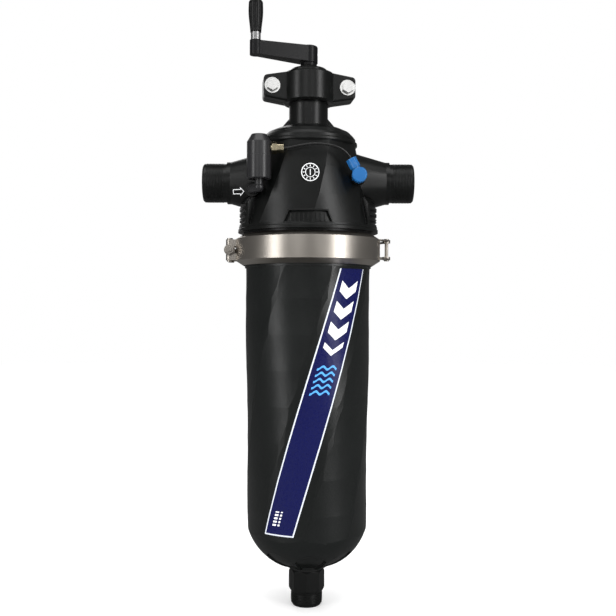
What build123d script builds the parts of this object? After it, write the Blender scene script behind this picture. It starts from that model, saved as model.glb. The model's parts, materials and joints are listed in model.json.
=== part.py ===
from build123d import *
import os
from math import atan, cos, hypot, pi, radians, sin, tan

os.makedirs("parts", exist_ok=True)

# All lengths are in millimetres. Heights are measured from the centreline of the two pipe ports,
# and the vertical axis of the vessel is the Z axis until place() moves the part to its origin.

# Pipe connections
PORT_REACH = 162.0
PORT_R = 29.8
PORT_BORE_R = 24.0
PORT_CHAMFER = 2.2
DRAIN_R = 23.9
DRAIN_BORE_R = 17.5
DRAIN_THREAD = 21.5
DRAIN_COLLAR_FLATS = 51.0
DRAIN_COLLAR_SIDES = 8

# Vessel
SPLIT_Z = -104.5
FLANGE_R = 106.5
FLANGE_LIP = 13.5
FLANGE_BACK = 8.0
BOWL_TOP_R = 97.2
BOWL_FOOT_R = 92.0
BOWL_WALL = 5.2
DOME_TOP_Z = -531.0
DOME_SIDE_R = 71.0
DOME_SIDE_Z = DOME_TOP_Z - 36.5
BOSS_Z = DOME_TOP_Z - 63.0
DRAIN_END_Z = BOSS_Z - 58.0
BOSS_R = 27.0
LOBES = 8
LOBE_FLAT = 1.3
LOBE_CORNER = 0.4
TWIST_STEPS = 8
LOBE_TWIST = 0.18
BOWL_LOBE_START = -3.6
HEAD_LOBE_START = 9.1
POCKET_DEPTH = 3.0
POCKET_ARCH_R = 26.0
POCKET_REACH = 79.0
POCKET_INNER_R = 33.0
RIB_WIDTH = 5.0
POCKET_TURN = 5.5

# Head
BASE_R = 107.0
BASE_Z = -77.8
BASE_TOP_Z = -69.0
HEAD_FOOT_R = 105.5
RIM_R = 74.5
RIM_Z = 57.0
RIM_TOP_Z = 70.0
NECK_FOOT_Z = 84.0
HEAD_WALL = 7.0
CHEEK_R = 106.2
CHEEK_TOP_Z = -37.0
CHEEK_HALF_ANGLE = 33.0
FIN_SLOTS = 4
FIN_PITCH = 8.4
FIN_SLOT = 4.6
FIN_FLOOR_X = 93.0
FIN_BACKING = 6.0
FIRST_FIN_Z = -66.0
HORN_END_X = 119.0
HORN_END_R = 32.5
HORN_ROOT_X = 58.0
HORN_ROOT_R = 50.0
HORN_COLLAR = 8.0
DUCT_WALL = 5.0
FRONT_FRAME_FOOT = (39.0, -73.0)
FRONT_FRAME_TOP = (29.5, -50.5)
FRONT_FRAME_BAR = 2.2
FRONT_FRAME_RISE = 1.6
DISC_AT = (3.0, 4.0)
DISC_R = 13.5
DISC_RISE = 1.2
NECK_RIB = (9.0, 4.0)
NECK_RIB_TOP_Z = 113.0

# Grooved neck joint
NECK_R = 30.15
NECK_BORE_R = 20.0
NECK_TOP_Z = 145.0
GROOVE_DEPTH = 1.5
GROOVE_WIDTH = 8.0
GROOVE_SETBACK = 8.0
END_GAP = 2.0
COVER_RIM_Z = 171.0
COVER_TOP_Z = 179.8
COUPLING_HEIGHT = 47.0
COUPLING_R = 41.0
COUPLING_TURN = 7.0
EAR_REACH = 71.0
EAR_END_HEIGHT = 33.0
EAR_DEPTH = 19.0
EAR_GAP = 1.5
COUPLING_BOLT_X = 58.0
COUPLING_BOLT_R = 5.0
WASHER_R = 12.0
WASHER_T = 2.0

# V-band clamp
BAND_R = 111.6
BAND_T = 2.0
BAND_FACE = 33.0
BAND_HEIGHT = 48.0
BAND_LIP_R = 100.0
BAND_END_GAP_ANGLE = 3.5
HINGE_X = 122.0
HINGE_PIN_R = 2.7
HINGE_SPAN = 31.0
LUG_T = 2.4
TRUNNION_X = -120.0
TRUNNION_Y = 13.0
TRUNNION_R = 4.5
TRUNNION_HEIGHT = 36.0
CLAMP_BOLT_R = 3.9

# Screen and collector
SOCKET_R = 67.3
SOCKET_WALL = 4.5
SCREEN_TOP_Z = -122.0
SCREEN_FOOT_Z = DOME_TOP_Z + 61.0
MESH_R = 58.0
MESH_T = 0.6
CAGE_R = 59.0
CAGE_T = 4.0
CAGE_RIBS = 8
CAGE_ROWS = 4
CAGE_BAR = 9.0
TRAVEL = 80.0
NOZZLES = 4
NOZZLE_GAP = 1.0
NOZZLE_R = 7.0
TUBE_R = 14.0
TUBE_BORE_R = 11.0
SCREW_R = 13.0
NUT_Z = 28.0
NUT_HEIGHT = 17.0
NUT_R = 22.0
SQUARE = 12.0

# Crank
SHAFT_R = 8.0
HUB_R = 14.0
HUB_FOOT_Z = 181.8
HUB_ARM_Z = 186.0
HUB_TOP_Z = 213.0
ARM_RADIUS = 88.0
ARM_ANGLE = 204.2
ARM_END_R = 9.0
ARM_END_LOW_Z = 189.0
ARM_END_TOP_Z = 211.0
FERRULE_R = 7.5
FERRULE_HEIGHT = 12.0
GRIP_LENGTH = 49.0
GRIP_R = 11.15
GRIP_FOOT_R = 8.35
GRIP_BOLT_R = 4.0

# Pressure indicator and its tube
INDICATOR_X = -72.0
INDICATOR_Y = -79.0
INDICATOR_R = 17.9
INDICATOR_FOOT_Z = -5.0
INDICATOR_SEAM_Z = 29.0
INDICATOR_SHOULDER_Z = 49.0
INDICATOR_TOP_Z = 60.0
PISTON_R = 8.0
PIN_R = 3.0
FITTING_Z = 40.5
FITTING_FLATS = 16.0
MICROTUBE_R = 2.0
OUTLET_FITTING = (75.0, -76.0, 2.0)
OUTLET_ARM_ANGLE = 118.0
TAP_PAD_R = 11.0
TAP_PAD_DEPTH = 34.0
TAP_R = 6.0
TAP_DEPTH = 12.0
INLET_TAP = (-84.0, -60.0, -17.0)
OUTLET_TAP = (OUTLET_FITTING[0], -61.0, OUTLET_FITTING[2])

# Clearances
SEAT = 0.1
RUN = 0.05
APART = 0.3
CLAMP_EASE = 0.2

BASE = (Align.CENTER, Align.CENTER, Align.MIN)
BEHIND = (Align.CENTER, Align.MIN, Align.CENTER)


def rod(radius, low, high):
    """Upright cylinder about the vessel axis between two heights."""
    return Pos(0, 0, low) * Cylinder(radius, high - low, align=BASE)


def tube(outer, inner, low, high):
    """Upright tube about the vessel axis between two heights."""
    return rod(outer, low, high) - rod(inner, low, high)


def turned(points):
    """Solid of revolution about the vessel axis, from corners given as radius and height."""
    return revolve(make_face(Plane.XZ * Polyline(*points, close=True)), axis=Axis.Z)


def seal_ring(middle_radius, section_radius, height):
    """Ring about the vessel axis, its round section drawn with eight flats."""
    corner = section_radius / cos(pi / 8)
    angles = [pi / 8 + pi / 4 * i for i in range(8)]
    return turned([(middle_radius + corner * cos(a), height + corner * sin(a)) for a in angles])


def hexagon(across_flats, height):
    """Hexagonal prism standing on the XY plane."""
    return extrude(RegularPolygon(across_flats / 2, 6, major_radius=False), amount=height)


def slab(outline, low, high):
    """Upright prism of a plan outline between two heights."""
    return Pos(0, 0, low) * extrude(outline, amount=high - low, dir=(0, 0, 1))


def corners(*points):
    """Flat outline through corners given in the sketch's own two axes."""
    return Polygon(*points, align=None)


def along(direction, at=(0, 0, 0)):
    """Placement that turns the Z axis into a direction at a point."""
    return Plane(origin=at, z_dir=direction).location


def place(name, shape):
    """Write one named piece, with the origin where the inlet's full outside diameter begins."""
    solids = shape.solids() if hasattr(shape, "solids") else [shape]
    moved = [Pos(PORT_REACH - PORT_CHAMFER, 0, 0) * solid for solid in solids]
    export_step(moved[0] if len(moved) == 1 else Compound(children=moved), f"parts/{name}.step")


# Helically lobed walls
def lobed_section(start, height, radius, flat):
    """Closed section of shallow arcs whose middles are set in from the corner circle."""
    step = 360 / LOBES
    first = start + LOBE_TWIST * (height - DOME_TOP_Z)

    def on(angle, reach):
        return (reach * cos(radians(angle)), reach * sin(radians(angle)), height)

    arcs = [
        ThreePointArc(
            on(first + step * i, radius),
            on(first + step * (i + 0.5), radius - flat),
            on(first + step * (i + 1), radius),
        )
        for i in range(LOBES)
    ]
    return make_face(arcs)


def lobed_wall(start, stations):
    """Twisted solid through sections given as height, corner radius and flat depth."""
    return loft([lobed_section(start, *station).face() for station in stations], ruled=True)


def bowl_radius(height):
    """Outside radius of the drafted bowl wall at a height."""
    share = (height - DOME_TOP_Z) / (bowl_flange_foot() - DOME_TOP_Z)
    return BOWL_FOOT_R + (BOWL_TOP_R - BOWL_FOOT_R) * share


def bowl_flange_foot():
    return SPLIT_Z - FLANGE_LIP - FLANGE_BACK


def dome_solid(inset):
    """Closed round bottom up to the start of the straight wall, set in by a depth."""
    foot = (BOSS_R - inset, BOSS_Z + 1 + inset)
    side = (DOME_SIDE_R - 0.75 * inset, DOME_SIDE_Z + 0.66 * inset)
    top = (BOWL_FOOT_R - inset, DOME_TOP_Z)
    edges = [
        ThreePointArc(foot, side, top),
        Line(top, (0, top[1])),
        Line((0, top[1]), (0, foot[1])),
        Line((0, foot[1]), foot),
    ]
    return revolve(make_face(Plane.XZ * Curve(edges)), axis=Axis.Z)


def inner_dome():
    """Water space in the round bottom, drawn with straight flanks."""
    wall = BOWL_WALL + POCKET_DEPTH
    return turned(
        [
            (0, BOSS_Z + 13),
            (BOSS_R - 5, BOSS_Z + 13),
            (0.6 * BOWL_FOOT_R, BOSS_Z + 23),
            (DOME_SIDE_R + 4 - wall, DOME_SIDE_Z + 7),
            (BOWL_FOOT_R - wall, DOME_TOP_Z),
            (0, DOME_TOP_Z),
        ]
    )


def dome_pockets():
    """Eight round-ended recesses between the ribs of the dome."""
    half = 180 / LOBES
    edge = RIB_WIDTH / 2 / sin(radians(half))
    outline = corners(
        (edge, 0),
        (edge + POCKET_REACH * cos(radians(half)), POCKET_REACH * sin(radians(half))),
        (edge + POCKET_REACH * cos(radians(half)), -POCKET_REACH * sin(radians(half))))
    arch = Pos(POCKET_REACH - POCKET_ARCH_R, 0) * Circle(POCKET_ARCH_R)
    arch += Rectangle(POCKET_REACH - POCKET_ARCH_R, 2 * POCKET_REACH, align=(Align.MIN, Align.CENTER))
    petal = (outline & arch) - Circle(POCKET_INNER_R)
    block = slab(petal, BOSS_Z, DOME_TOP_Z) - dome_solid(POCKET_DEPTH)
    return [Rot(0, 0, POCKET_TURN + 360 / LOBES * i) * block for i in range(LOBES)]


def bowl():
    """Lower vessel: lobed wall, ribbed dome, drain boss, clamp flange and screen socket."""
    top_z = bowl_flange_foot()
    body = turned([(0, DOME_TOP_Z), (BOWL_FOOT_R, DOME_TOP_Z), (BOWL_TOP_R, top_z), (0, top_z)])
    body += dome_solid(0.0)
    body -= dome_pockets()
    overlap = 20.0
    span = (top_z - DOME_TOP_Z + overlap) / TWIST_STEPS
    stations = []
    for i in range(TWIST_STEPS + 1):
        height = DOME_TOP_Z - overlap + span * i
        reach = bowl_radius(height) + LOBE_CORNER
        stations.append((height, reach, LOBE_FLAT + LOBE_CORNER))
    body &= lobed_wall(BOWL_LOBE_START, stations) + rod(BASE_R, BOSS_Z - 1, DOME_TOP_Z - overlap)
    body += turned(
        [
            (0, top_z - 6),
            (BOWL_TOP_R + 0.4, top_z - 6),
            (BOWL_TOP_R + 0.4, top_z),
            (FLANGE_R, top_z + FLANGE_BACK),
            (FLANGE_R, SPLIT_Z),
            (0, SPLIT_Z),
        ]
    )
    body += rod(BOSS_R, BOSS_Z, BOSS_Z + 14)
    inside = inner_dome() + turned(
        [
            (0, DOME_TOP_Z),
            (BOWL_FOOT_R - BOWL_WALL - POCKET_DEPTH, DOME_TOP_Z),
            (BOWL_FOOT_R - BOWL_WALL - LOBE_FLAT, DOME_TOP_Z + 30),
            (BOWL_TOP_R - BOWL_WALL, top_z),
            (BOWL_TOP_R - BOWL_WALL, SPLIT_Z + 1),
            (0, SPLIT_Z + 1),
        ]
    )
    socket = turned(
        [
            (cap_seat_r() - 4, cap_foot_z() - SEAT),
            (cap_socket_r(), cap_foot_z() - SEAT),
            (cap_socket_r(), cap_foot_z() + 14),
            (cap_socket_r() + SOCKET_WALL, cap_foot_z() + 14),
            (cap_socket_r() + SOCKET_WALL, BOSS_Z),
            (cap_seat_r() - 4, BOSS_Z),
        ]
    )
    body = (body - inside) + (socket & dome_and_wall_solid())
    groove = tube(body_seal_r() + 2.6, body_seal_r() - 2.6, SPLIT_Z - 5.0, SPLIT_Z + 1)
    return body - groove - rod(nipple_spigot_r() + SEAT, BOSS_Z - 1, BOSS_Z + 30)


def dome_and_wall_solid():
    """Space that the inner socket may fill inside the vessel."""
    return dome_solid(POCKET_DEPTH + 1) + rod(BOWL_FOOT_R - BOWL_WALL, DOME_TOP_Z, SPLIT_Z)


def body_seal_r():
    return (BOWL_TOP_R - BOWL_WALL + FLANGE_R) / 2


def body_seal():
    """Ring that closes the joint between head and bowl."""
    return seal_ring(body_seal_r(), 2.45, SPLIT_Z - 2.5)


def cap_socket_r():
    return SOCKET_R - 1.0


def cap_seat_r():
    return cap_socket_r() - 1.0


def cap_foot_z():
    return SCREEN_FOOT_Z - 24.0


# Drain connection
def nipple_spigot_r():
    return DRAIN_BORE_R + 3.5


def drain_nipple():
    """Threaded outlet with an octagonal collar, pushed up into the vessel's boss."""
    collar_foot = DRAIN_END_Z + DRAIN_THREAD
    collar_top = BOSS_Z - 2.2
    height = collar_top - collar_foot
    collar = Pos(0, 0, collar_foot) * extrude(
        RegularPolygon(DRAIN_COLLAR_FLATS / 2, DRAIN_COLLAR_SIDES, major_radius=False), amount=height
    )
    corner_r = DRAIN_COLLAR_FLATS / 2 / cos(pi / DRAIN_COLLAR_SIDES)
    collar &= turned(
        [
            (0, collar_foot),
            (DRAIN_R + 0.6, collar_foot),
            (corner_r, collar_foot + 5),
            (corner_r, collar_top - 4),
            (DRAIN_R + 1.2, collar_top),
            (0, collar_top),
        ]
    )
    chamfer_height = 4.0
    thread = turned(
        [
            (0, DRAIN_END_Z),
            (DRAIN_R - 2.6, DRAIN_END_Z),
            (DRAIN_R, DRAIN_END_Z + chamfer_height),
            (DRAIN_R, collar_foot + 1),
            (0, collar_foot + 1),
        ]
    )
    spigot = rod(nipple_spigot_r(), collar_top - 1, BOSS_Z + 13)
    return collar + thread + spigot - rod(DRAIN_BORE_R, DRAIN_END_Z - 1, BOSS_Z + 14)


def drain_seal():
    """Flat washer between the nipple's collar and the boss."""
    return tube(DRAIN_R + 1.0, nipple_spigot_r() + SEAT, BOSS_Z - 2.1, BOSS_Z - SEAT)


# Head
def head_radius(height):
    """Corner radius of the head's faceted cone at a height."""
    share = (height - BASE_TOP_Z) / (RIM_Z - BASE_TOP_Z)
    return HEAD_FOOT_R + (RIM_R - HEAD_FOOT_R) * share


def horn(side):
    """Tapered duct from the head's side to a port, side being 1 or -1 along X."""
    taper = Cone(HORN_ROOT_R, HORN_END_R, HORN_END_X - HORN_ROOT_X, align=BASE)
    return along((side, 0, 0), (side * HORN_ROOT_X, 0, 0)) * taper


def port_bore(side, start_x):
    """Straight bore from inside the head out through one port."""
    reach = PORT_REACH + 1 - start_x
    return along((side, 0, 0), (side * start_x, 0, 0)) * Cylinder(PORT_BORE_R, reach, align=BASE)


def port_stub(side):
    """Threaded pipe end with a chamfered mouth."""
    start = HORN_ROOT_X
    stub = along((side, 0, 0), (side * start, 0, 0)) * Cylinder(PORT_R, PORT_REACH - start, align=BASE)
    mouth = stub.faces().sort_by(Axis.X)[-1 if side > 0 else 0]
    return chamfer(mouth.edges(), PORT_CHAMFER)


def cheek(side):
    """Upright pad under a port with stacked cooling-fin slots in its face."""
    sector = corners(
        (0, 0),
        (2 * BASE_R, 2 * BASE_R * tan(radians(CHEEK_HALF_ANGLE))),
        (2 * BASE_R, -2 * BASE_R * tan(radians(CHEEK_HALF_ANGLE))),
    )
    wedge = slab(sector, BASE_Z, PORT_REACH)
    pad = turned(
        [
            (0, BASE_TOP_Z - 3),
            (CHEEK_R, BASE_TOP_Z - 3),
            (CHEEK_R, CHEEK_TOP_Z),
            (CHEEK_R - 6, CHEEK_TOP_Z + 9),
            (0, CHEEK_TOP_Z + 9),
        ]
    )
    turn = 0 if side > 0 else 180
    return Rot(0, 0, turn) * (pad & wedge)


def fin_slots(side):
    """Stacked slots with a flat floor that leave the fins under a port."""
    slot = Box(BASE_R - FIN_FLOOR_X, 2 * BASE_R, FIN_SLOT, align=(Align.MIN, Align.CENTER, Align.MIN))
    turn = Rot(0, 0, 90 - side * 90)
    return [turn * (Pos(FIN_FLOOR_X, 0, FIRST_FIN_Z + FIN_PITCH * i) * slot) for i in range(FIN_SLOTS)]


def fin_backing(side):
    """Room kept solid inside the shell so that the slots have a wall behind them."""
    inner_x = FIN_FLOOR_X - FIN_BACKING
    foot = FIRST_FIN_Z - FIN_BACKING
    block = Box(BASE_R - inner_x, 2 * BASE_R, CHEEK_TOP_Z - foot, align=(Align.MIN, Align.CENTER, Align.MIN))
    return Rot(0, 0, 90 - side * 90) * (Pos(inner_x, 0, foot) * block)


def clamp_groove_r():
    """Radius of the head's groove, a little inside the band's lip."""
    return BAND_LIP_R - SEAT - CLAMP_EASE


def clamp_flange_profile():
    """Lower rim of the head, grooved for the clamp's upper shoulder."""
    lip_top = SPLIT_Z + FLANGE_LIP
    return [
        (0, SPLIT_Z),
        (FLANGE_R, SPLIT_Z),
        (FLANGE_R, lip_top),
        (clamp_groove_r(), lip_top + FLANGE_BACK),
        (clamp_groove_r(), BASE_Z),
        (BASE_R + 1.2, BASE_Z),
        (BASE_R + 1.2, BASE_Z + 4.5),
        (BASE_R, BASE_Z + 5.5),
        (BASE_R, BASE_TOP_Z),
        (0, BASE_TOP_Z),
    ]


def crown_profile():
    """Shoulder rim, dome and neck above the faceted cone."""
    groove_top = NECK_TOP_Z - GROOVE_SETBACK
    groove_low = groove_top - GROOVE_WIDTH
    return [
        (0, RIM_Z - 3),
        (RIM_R - 1.5, RIM_Z - 3),
        (RIM_R + 1.2, RIM_Z),
        (RIM_R + 1.2, RIM_Z + 3),
        (RIM_R - 1.5, RIM_Z + 5),
        (RIM_R - 1.5, RIM_TOP_Z - 4),
        (RIM_R - 4.5, RIM_TOP_Z),
        (64.0, RIM_TOP_Z + 6),
        (52.0, RIM_TOP_Z + 11.5),
        (43.0, NECK_FOOT_Z),
        (NECK_R + 3, NECK_FOOT_Z + 1.0),
        (NECK_R, NECK_FOOT_Z + 4),
        (NECK_R, groove_low),
        (NECK_R - GROOVE_DEPTH, groove_low),
        (NECK_R - GROOVE_DEPTH, groove_top),
        (NECK_R, groove_top),
        (NECK_R, NECK_TOP_Z),
        (0, NECK_TOP_Z),
    ]


def neck_gusset():
    """Thin triangular web between the dome and the neck."""
    web = corners(
        (NECK_R - 2, NECK_FOOT_Z - 4), (NECK_R + 17, NECK_FOOT_Z - 4), (NECK_R - 2, NECK_FOOT_Z + 18))
    return extrude(Plane.XZ * web, amount=1.75, both=True)


def front_frame():
    """Raised empty frame on the front of the head's foot, wider at its base."""
    low_half, low_z = FRONT_FRAME_FOOT
    top_half, top_z = FRONT_FRAME_TOP
    outer = corners((-low_half, low_z), (low_half, low_z), (top_half, top_z), (-top_half, top_z))
    bar = outer - offset(outer, -FRONT_FRAME_BAR)
    skin = turned(
        [
            (0, low_z - 1),
            (head_radius(low_z) + FRONT_FRAME_RISE, low_z - 1),
            (head_radius(top_z) + FRONT_FRAME_RISE, top_z + 1),
            (0, top_z + 1),
        ]
    )
    return extrude(Plane.XZ * bar, amount=2 * BASE_R, dir=(0, -1, 0)) & skin


def neck_rib():
    """Upright rib on the front of the neck."""
    foot = NECK_FOOT_Z + 2
    width, depth = NECK_RIB
    return Pos(0, -NECK_R, foot) * Box(width, depth, NECK_RIB_TOP_Z - foot, align=BASE)


def front_disc():
    """Round flat pad on the front of the head."""
    x, z = DISC_AT
    return along((0, 1, 0), (x, -head_radius(z) - DISC_RISE, z)) * Cylinder(DISC_R, 12, align=BASE)


def tapping_pad(at):
    """Round boss on a horn for a pressure fitting, running back along Y from a point."""
    return along((0, 1, 0), at) * Cylinder(TAP_PAD_R, TAP_PAD_DEPTH, align=BASE)


def head_outside():
    """Outer form of the cover housing."""
    heights = [BASE_TOP_Z - 1, -27.0, 15.0, RIM_Z + 1]
    stations = [(height, head_radius(height), 2 * LOBE_FLAT) for height in heights]
    body = lobed_wall(HEAD_LOBE_START, stations)
    body += turned(clamp_flange_profile())
    body += turned(crown_profile())
    for side in (-1, 1):
        body += cheek(side)
        body += horn(side)
        body += port_stub(side)
        body += Pos(side * (HORN_END_X + 2), 0, 0) * (Rot(0, 90, 0) * Cylinder(HORN_END_R, HORN_COLLAR))
        body += Rot(0, 0, 90 - side * 90) * neck_gusset()
        body -= fin_slots(side)
    body += front_frame()
    body += neck_rib()
    for tap in (INLET_TAP, OUTLET_TAP):
        body += tapping_pad(tap)
        body -= along((0, 1, 0), tap) * Cylinder(TAP_R + SEAT, TAP_DEPTH, align=BASE)
    body += front_disc()
    return body


def head_cavity():
    """Outer water space between the shell and the inner chamber."""
    inner = BOWL_TOP_R - BOWL_WALL
    deck_z = NUT_Z + NUT_HEIGHT + 4
    return turned(
        [
            (0, SPLIT_Z - 1),
            (inner, SPLIT_Z - 1),
            (inner, BASE_Z),
            (head_radius(BASE_TOP_Z) - HEAD_WALL - 1, BASE_TOP_Z + 4),
            (head_radius(deck_z) - HEAD_WALL - 2, deck_z),
            (0, deck_z),
        ]
    )


def head_core():
    """Inner chamber wall, screen socket, nut deck and inlet duct."""
    chamber_r = SOCKET_R - 12
    deck_z = NUT_Z + NUT_HEIGHT + 5
    wall = turned(
        [
            (0, deck_z),
            (chamber_r + SOCKET_WALL, deck_z),
            (chamber_r + SOCKET_WALL, -58),
            (SOCKET_R + SOCKET_WALL, -74),
            (SOCKET_R + SOCKET_WALL, SCREEN_TOP_Z + 4),
            (0, SCREEN_TOP_Z + 4),
        ]
    )
    duct_r = PORT_BORE_R + DUCT_WALL
    duct = along((-1, 0, 0), (-20, 0, 0)) * Cylinder(duct_r, HORN_ROOT_X + 30, align=BASE)
    return wall + duct


def head_chamber():
    """Space inside the inner chamber, from the screen's ring up to the nut."""
    chamber_r = SOCKET_R - 12
    return turned(
        [
            (0, SCREEN_TOP_Z + 3),
            (SOCKET_R, SCREEN_TOP_Z + 3),
            (SOCKET_R, ring_top_z() + SEAT),
            (chamber_r, ring_top_z() + SEAT),
            (chamber_r, NUT_Z - 3 - SEAT),
            (nut_flange_r() + SEAT, NUT_Z - 3 - SEAT),
            (nut_flange_r() + SEAT, NUT_Z),
            (NUT_R + SEAT, NUT_Z),
            (NUT_R + SEAT, NUT_Z + NUT_HEIGHT + SEAT),
            (NECK_BORE_R, NUT_Z + NUT_HEIGHT + SEAT),
            (NECK_BORE_R, NECK_TOP_Z + 1),
            (0, NECK_TOP_Z + 1),
        ]
    )


def head():
    """Cover housing with both ports, the neck and the inner chamber."""
    body = head_outside() - (head_cavity() - fin_backing(-1) - fin_backing(1))
    body += head_core()
    body -= head_chamber()
    body -= port_bore(-1, 30)
    outlet_start = SOCKET_R - 12 + SOCKET_WALL + 1
    body -= port_bore(1, outlet_start)
    return body


# Clamp
def band_half(side):
    """Half of the V-section band, side being -1 for the front."""
    middle = SPLIT_Z
    face, height = BAND_FACE / 2, BAND_HEIGHT / 2
    slope = hypot(BAND_R - BAND_LIP_R, height - face)
    inset = BAND_T * slope / (BAND_R - BAND_LIP_R)
    section = turned(
        [
            (BAND_LIP_R, middle - height),
            (BAND_R, middle - face),
            (BAND_R, middle + face),
            (BAND_LIP_R, middle + height),
            (BAND_LIP_R, middle + height - inset),
            (BAND_R - BAND_T, middle + face - inset + 1.0),
            (BAND_R - BAND_T, middle - face + inset - 1.0),
            (BAND_LIP_R, middle - height + inset),
        ]
    )
    keep = Pos(0, side * (BAND_R + 5), middle) * Box(2.4 * BAND_R, 2 * BAND_R + 10, 2 * BAND_HEIGHT)
    gap = BAND_R * sin(radians(BAND_END_GAP_ANGLE))
    keep -= Pos(0, 0, middle) * Box(2.4 * BAND_R, 2 * gap, 2 * BAND_HEIGHT)
    return section & keep


def hinge_lugs(side):
    """Two flat lugs that reach from a band half to the hinge pin."""
    lugs = []
    inner = BAND_R * cos(radians(BAND_END_GAP_ANGLE)) - 1.0
    y_band = side * BAND_R * sin(radians(BAND_END_GAP_ANGLE + 5))
    for end in (-1, 1):
        outer_step = 0 if side < 0 else LUG_T + SEAT
        middle_z = SPLIT_Z + 1.5 + end * (HINGE_SPAN / 2 - outer_step - LUG_T / 2)
        outline = Circle(HINGE_PIN_R + 3.2)
        outline = Pos(HINGE_X, 0) * outline
        outline += corners(
            (inner - 2.5, y_band - side * 4), (inner - 3.5, y_band + side * 5),
            (inner + 2, y_band + side * 5), (HINGE_X + 4, side * 4.2), (HINGE_X, -side * 5.6))
        outline -= Circle(BAND_R - 0.8)
        outline -= Pos(HINGE_X, 0) * Circle(HINGE_PIN_R + RUN)
        lugs.append(slab(outline, middle_z - LUG_T / 2, middle_z + LUG_T / 2))
    return lugs


def loop_face_y():
    return TRUNNION_Y + TRUNNION_R + 1.8


def trunnion_loop(side):
    """Strap folded round a trunnion, above and below the clamp bolt."""
    loops = []
    for end in (-1, 1):
        outline = Pos(TRUNNION_X, side * TRUNNION_Y) * Circle(TRUNNION_R + 1.6)
        outline += corners(
            (TRUNNION_X, side * (TRUNNION_Y + TRUNNION_R + 1.6)),
            (TRUNNION_X + 15.5, side * (TRUNNION_Y + TRUNNION_R + 1.8)),
            (TRUNNION_X + 15.5, side * (TRUNNION_Y + 1)),
            (TRUNNION_X, side * (TRUNNION_Y - 2)))
        outline -= Circle(BAND_R - 0.8)
        outline -= Pos(TRUNNION_X, side * TRUNNION_Y) * Circle(TRUNNION_R + SEAT)
        span = TRUNNION_HEIGHT / 2 - 2 - (CLAMP_BOLT_R + 1.6)
        low = SPLIT_Z + (CLAMP_BOLT_R + 1.6 if end > 0 else -(CLAMP_BOLT_R + 1.6) - span)
        loops.append(slab(outline, low, low + span))
    return loops


def clamp_band(side):
    """One band half with its hinge lugs and trunnion loops."""
    return band_half(side) + hinge_lugs(side) + trunnion_loop(side)


def clamp_hinge_pin():
    """Pin through all four hinge lugs, with a small head at each end."""
    low = SPLIT_Z + 1.5 - HINGE_SPAN / 2
    pin = rod(HINGE_PIN_R, low - 1, low + HINGE_SPAN + 1)
    for base in (low - SEAT - 1.6, low + HINGE_SPAN + SEAT):
        pin += rod(HINGE_PIN_R + 1.2, base, base + 1.6)
    return Pos(HINGE_X, 0, 0) * pin


def clamp_trunnions():
    """Upright barrels, cross-drilled for the clamp bolt."""
    barrels = []
    for side in (-1, 1):
        at = Pos(TRUNNION_X, side * TRUNNION_Y, SPLIT_Z - TRUNNION_HEIGHT / 2)
        barrel = at * Cylinder(TRUNNION_R, TRUNNION_HEIGHT, align=BASE)
        hole = along((0, 1, 0), (TRUNNION_X, side * TRUNNION_Y - 8, SPLIT_Z))
        barrels.append(barrel - hole * Cylinder(CLAMP_BOLT_R + SEAT, 16, align=BASE))
    return Compound(children=[barrel.solid() for barrel in barrels])


def clamp_bolt():
    """Closing bolt that runs along Y through both trunnions, its head behind."""
    head_y = loop_face_y() + SEAT
    start = along((0, -1, 0), (TRUNNION_X, head_y, SPLIT_Z))
    shank = start * Cylinder(CLAMP_BOLT_R, 2 * head_y + 11, align=BASE)
    back = along((0, 1, 0), (TRUNNION_X, head_y, SPLIT_Z)) * hexagon(13.0, 5.3)
    return shank + back


def clamp_nut():
    """Nut with a flange that draws the front trunnion back."""
    at = along((0, -1, 0), (TRUNNION_X, -loop_face_y() - SEAT, SPLIT_Z))
    nut = Cylinder(8.5, 1.6, align=BASE) + hexagon(13.0, 8.0)
    return at * (nut - Cylinder(CLAMP_BOLT_R + RUN, 10, align=BASE))


# Grooved coupling on the neck
def coupling_middle():
    return NECK_TOP_Z + END_GAP / 2


def coupling_bolt_axes():
    """Placement of both bolts, looking along the coupling's own Y axis."""
    return [Pos(side * COUPLING_BOLT_X, 0, coupling_middle()) for side in (-1, 1)]


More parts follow.
